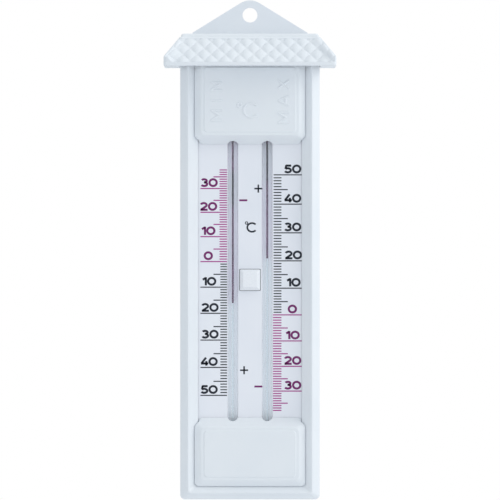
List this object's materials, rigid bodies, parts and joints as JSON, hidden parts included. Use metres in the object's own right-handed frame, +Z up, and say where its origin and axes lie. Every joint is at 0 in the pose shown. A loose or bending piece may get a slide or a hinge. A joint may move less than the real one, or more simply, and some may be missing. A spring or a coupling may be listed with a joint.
{
  "type": "maximum minimum thermometer",
  "caption": "Wall thermometer in a long moulded frame with a hipped rain roof, U-shaped tube with index pins, two scales and a square reset button.",
  "frame": {"origin": "centre of the hanging hole in the tab, on the wall plane", "axes": "+Z up along the tube's limbs, +Y into the wall (the scale faces -Y), +X to the right as the scale is read"},
  "size_m": [0.0798, 0.033, 0.2332],
  "materials": {
    "white_abs": "satin moulded white plastic with a faint cool tint",
    "rear_abs": "moulded white plastic, fine texture",
    "printed_scale": "white plastic plate with screen-printed scales",
    "button_abs": "satin moulded white plastic",
    "soda_glass": "clear drawn glass, pale cyan",
    "tinted_spirit": "dark purple-grey spirit",
    "clear_liquid": "clear liquid",
    "coated_steel": "dark blue coated steel pin",
    "carrier_abs": "dark moulded plastic",
    "ferrite_strip": "flexible ferrite magnet strip",
    "spring_steel": "bright spring wire",
    "zinc_steel": "zinc-plated screw",
    "grey_foam": "closed-cell foam"
  },
  "bodies": {
    "case": {"back_plate": "rear_abs", "housing": "white_abs", "roof": "white_abs", "upper_cover": "white_abs", "lower_cover": "white_abs", "scale_plate": "printed_scale", "glass_tube": "soda_glass", "bulb_spirit": "tinted_spirit", "left_column": "tinted_spirit", "right_column": "tinted_spirit", "bend_liquid": "clear_liquid", "upper_spring": "spring_steel", "lower_spring": "spring_steel", "upper_left_screw": "zinc_steel", "upper_right_screw": "zinc_steel", "lower_left_screw": "zinc_steel", "lower_right_screw": "zinc_steel", "bulb_pad": "grey_foam", "bend_pad": "grey_foam"},
    "button": {"reset_button": "button_abs", "magnet_carrier": "carrier_abs", "left_magnet": "ferrite_strip", "right_magnet": "ferrite_strip"},
    "min_pin": {"min_index": "coated_steel"},
    "max_pin": {"max_index": "coated_steel"},
    "min_level": {"min_meniscus": "clear_liquid"},
    "max_level": {"max_meniscus": "clear_liquid"}
  },
  "joints": [
    {"name": "button_press", "type": "slide", "parent": "case", "child": "button", "axis": [0, 1, 0], "range_m": [0, 0.0026], "stiffness_N_per_m": 600, "springref_m": -0.002, "deforming": ["upper_spring", "lower_spring"]},
    {"name": "min_index_slide", "type": "slide", "parent": "case", "child": "min_pin", "axis": [0, 0, 1], "range_m": [-0.0444, 0.0164]},
    {"name": "max_index_slide", "type": "slide", "parent": "case", "child": "max_pin", "axis": [0, 0, 1], "range_m": [-0.0358, 0.0029]},
    {"name": "min_level_slide", "type": "slide", "parent": "case", "child": "min_level", "axis": [0, 0, 1], "range_m": [-0.0343, 0.0444], "deforming": ["left_column", "bend_liquid"]},
    {"name": "max_level_slide", "type": "slide", "parent": "case", "child": "max_level", "axis": [0, 0, 1], "range_m": [-0.0464, 0.0359], "deforming": ["right_column"]}
  ],
  "couplings": [
    {"joint": "max_level_slide", "follows": "min_level_slide", "ratio": -1.044}
  ]
}
